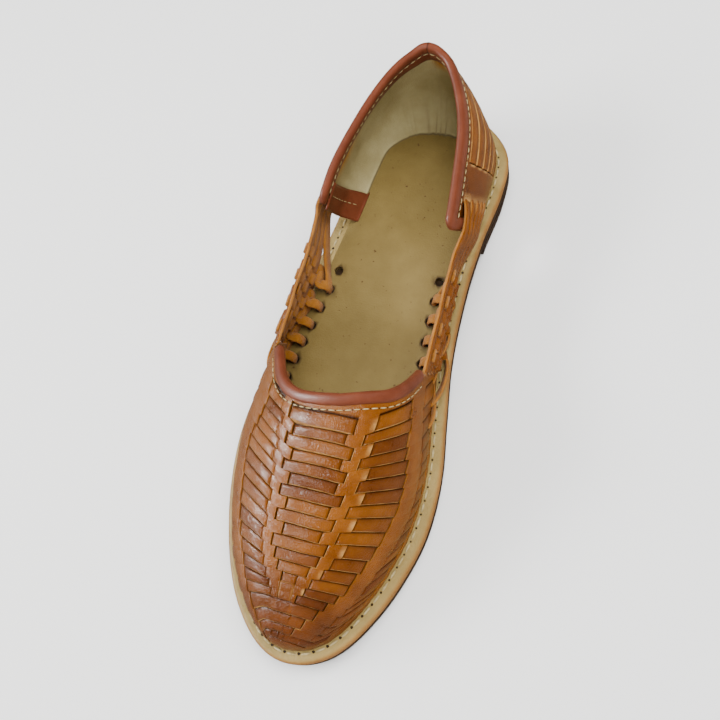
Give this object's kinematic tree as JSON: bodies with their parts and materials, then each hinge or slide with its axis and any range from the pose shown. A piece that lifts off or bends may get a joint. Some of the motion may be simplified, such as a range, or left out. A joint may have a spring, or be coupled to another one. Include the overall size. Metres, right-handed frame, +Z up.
{
  "type": "huarache sandal",
  "caption": "Right woven leather huarache sandal with a closed woven vamp, strip-laced heel counter, open strap sides and a flat welted sole.",
  "frame": {"origin": "on the floor under the middle of the sole's outline", "axes": "+Z up, the heel points to +Y and the toe to -Y, +X is the medial side"},
  "size_m": [0.0998, 0.285, 0.0757],
  "materials": {
    "sole_rubber": "matte",
    "natural_leather": "satin",
    "insole_leather": "matte",
    "woven_leather": "glossy",
    "strap_leather": "satin",
    "binding_leather": "satin"
  },
  "bodies": {
    "root": {"heel_block": "sole_rubber", "outsole": "sole_rubber", "midsole": "natural_leather", "insole": "insole_leather", "vamp": "woven_leather", "throat_binding": "binding_leather", "counter": "woven_leather", "collar_binding": "binding_leather", "lateral_straps": "strap_leather", "medial_straps": "strap_leather"}
  },
  "joints": []
}
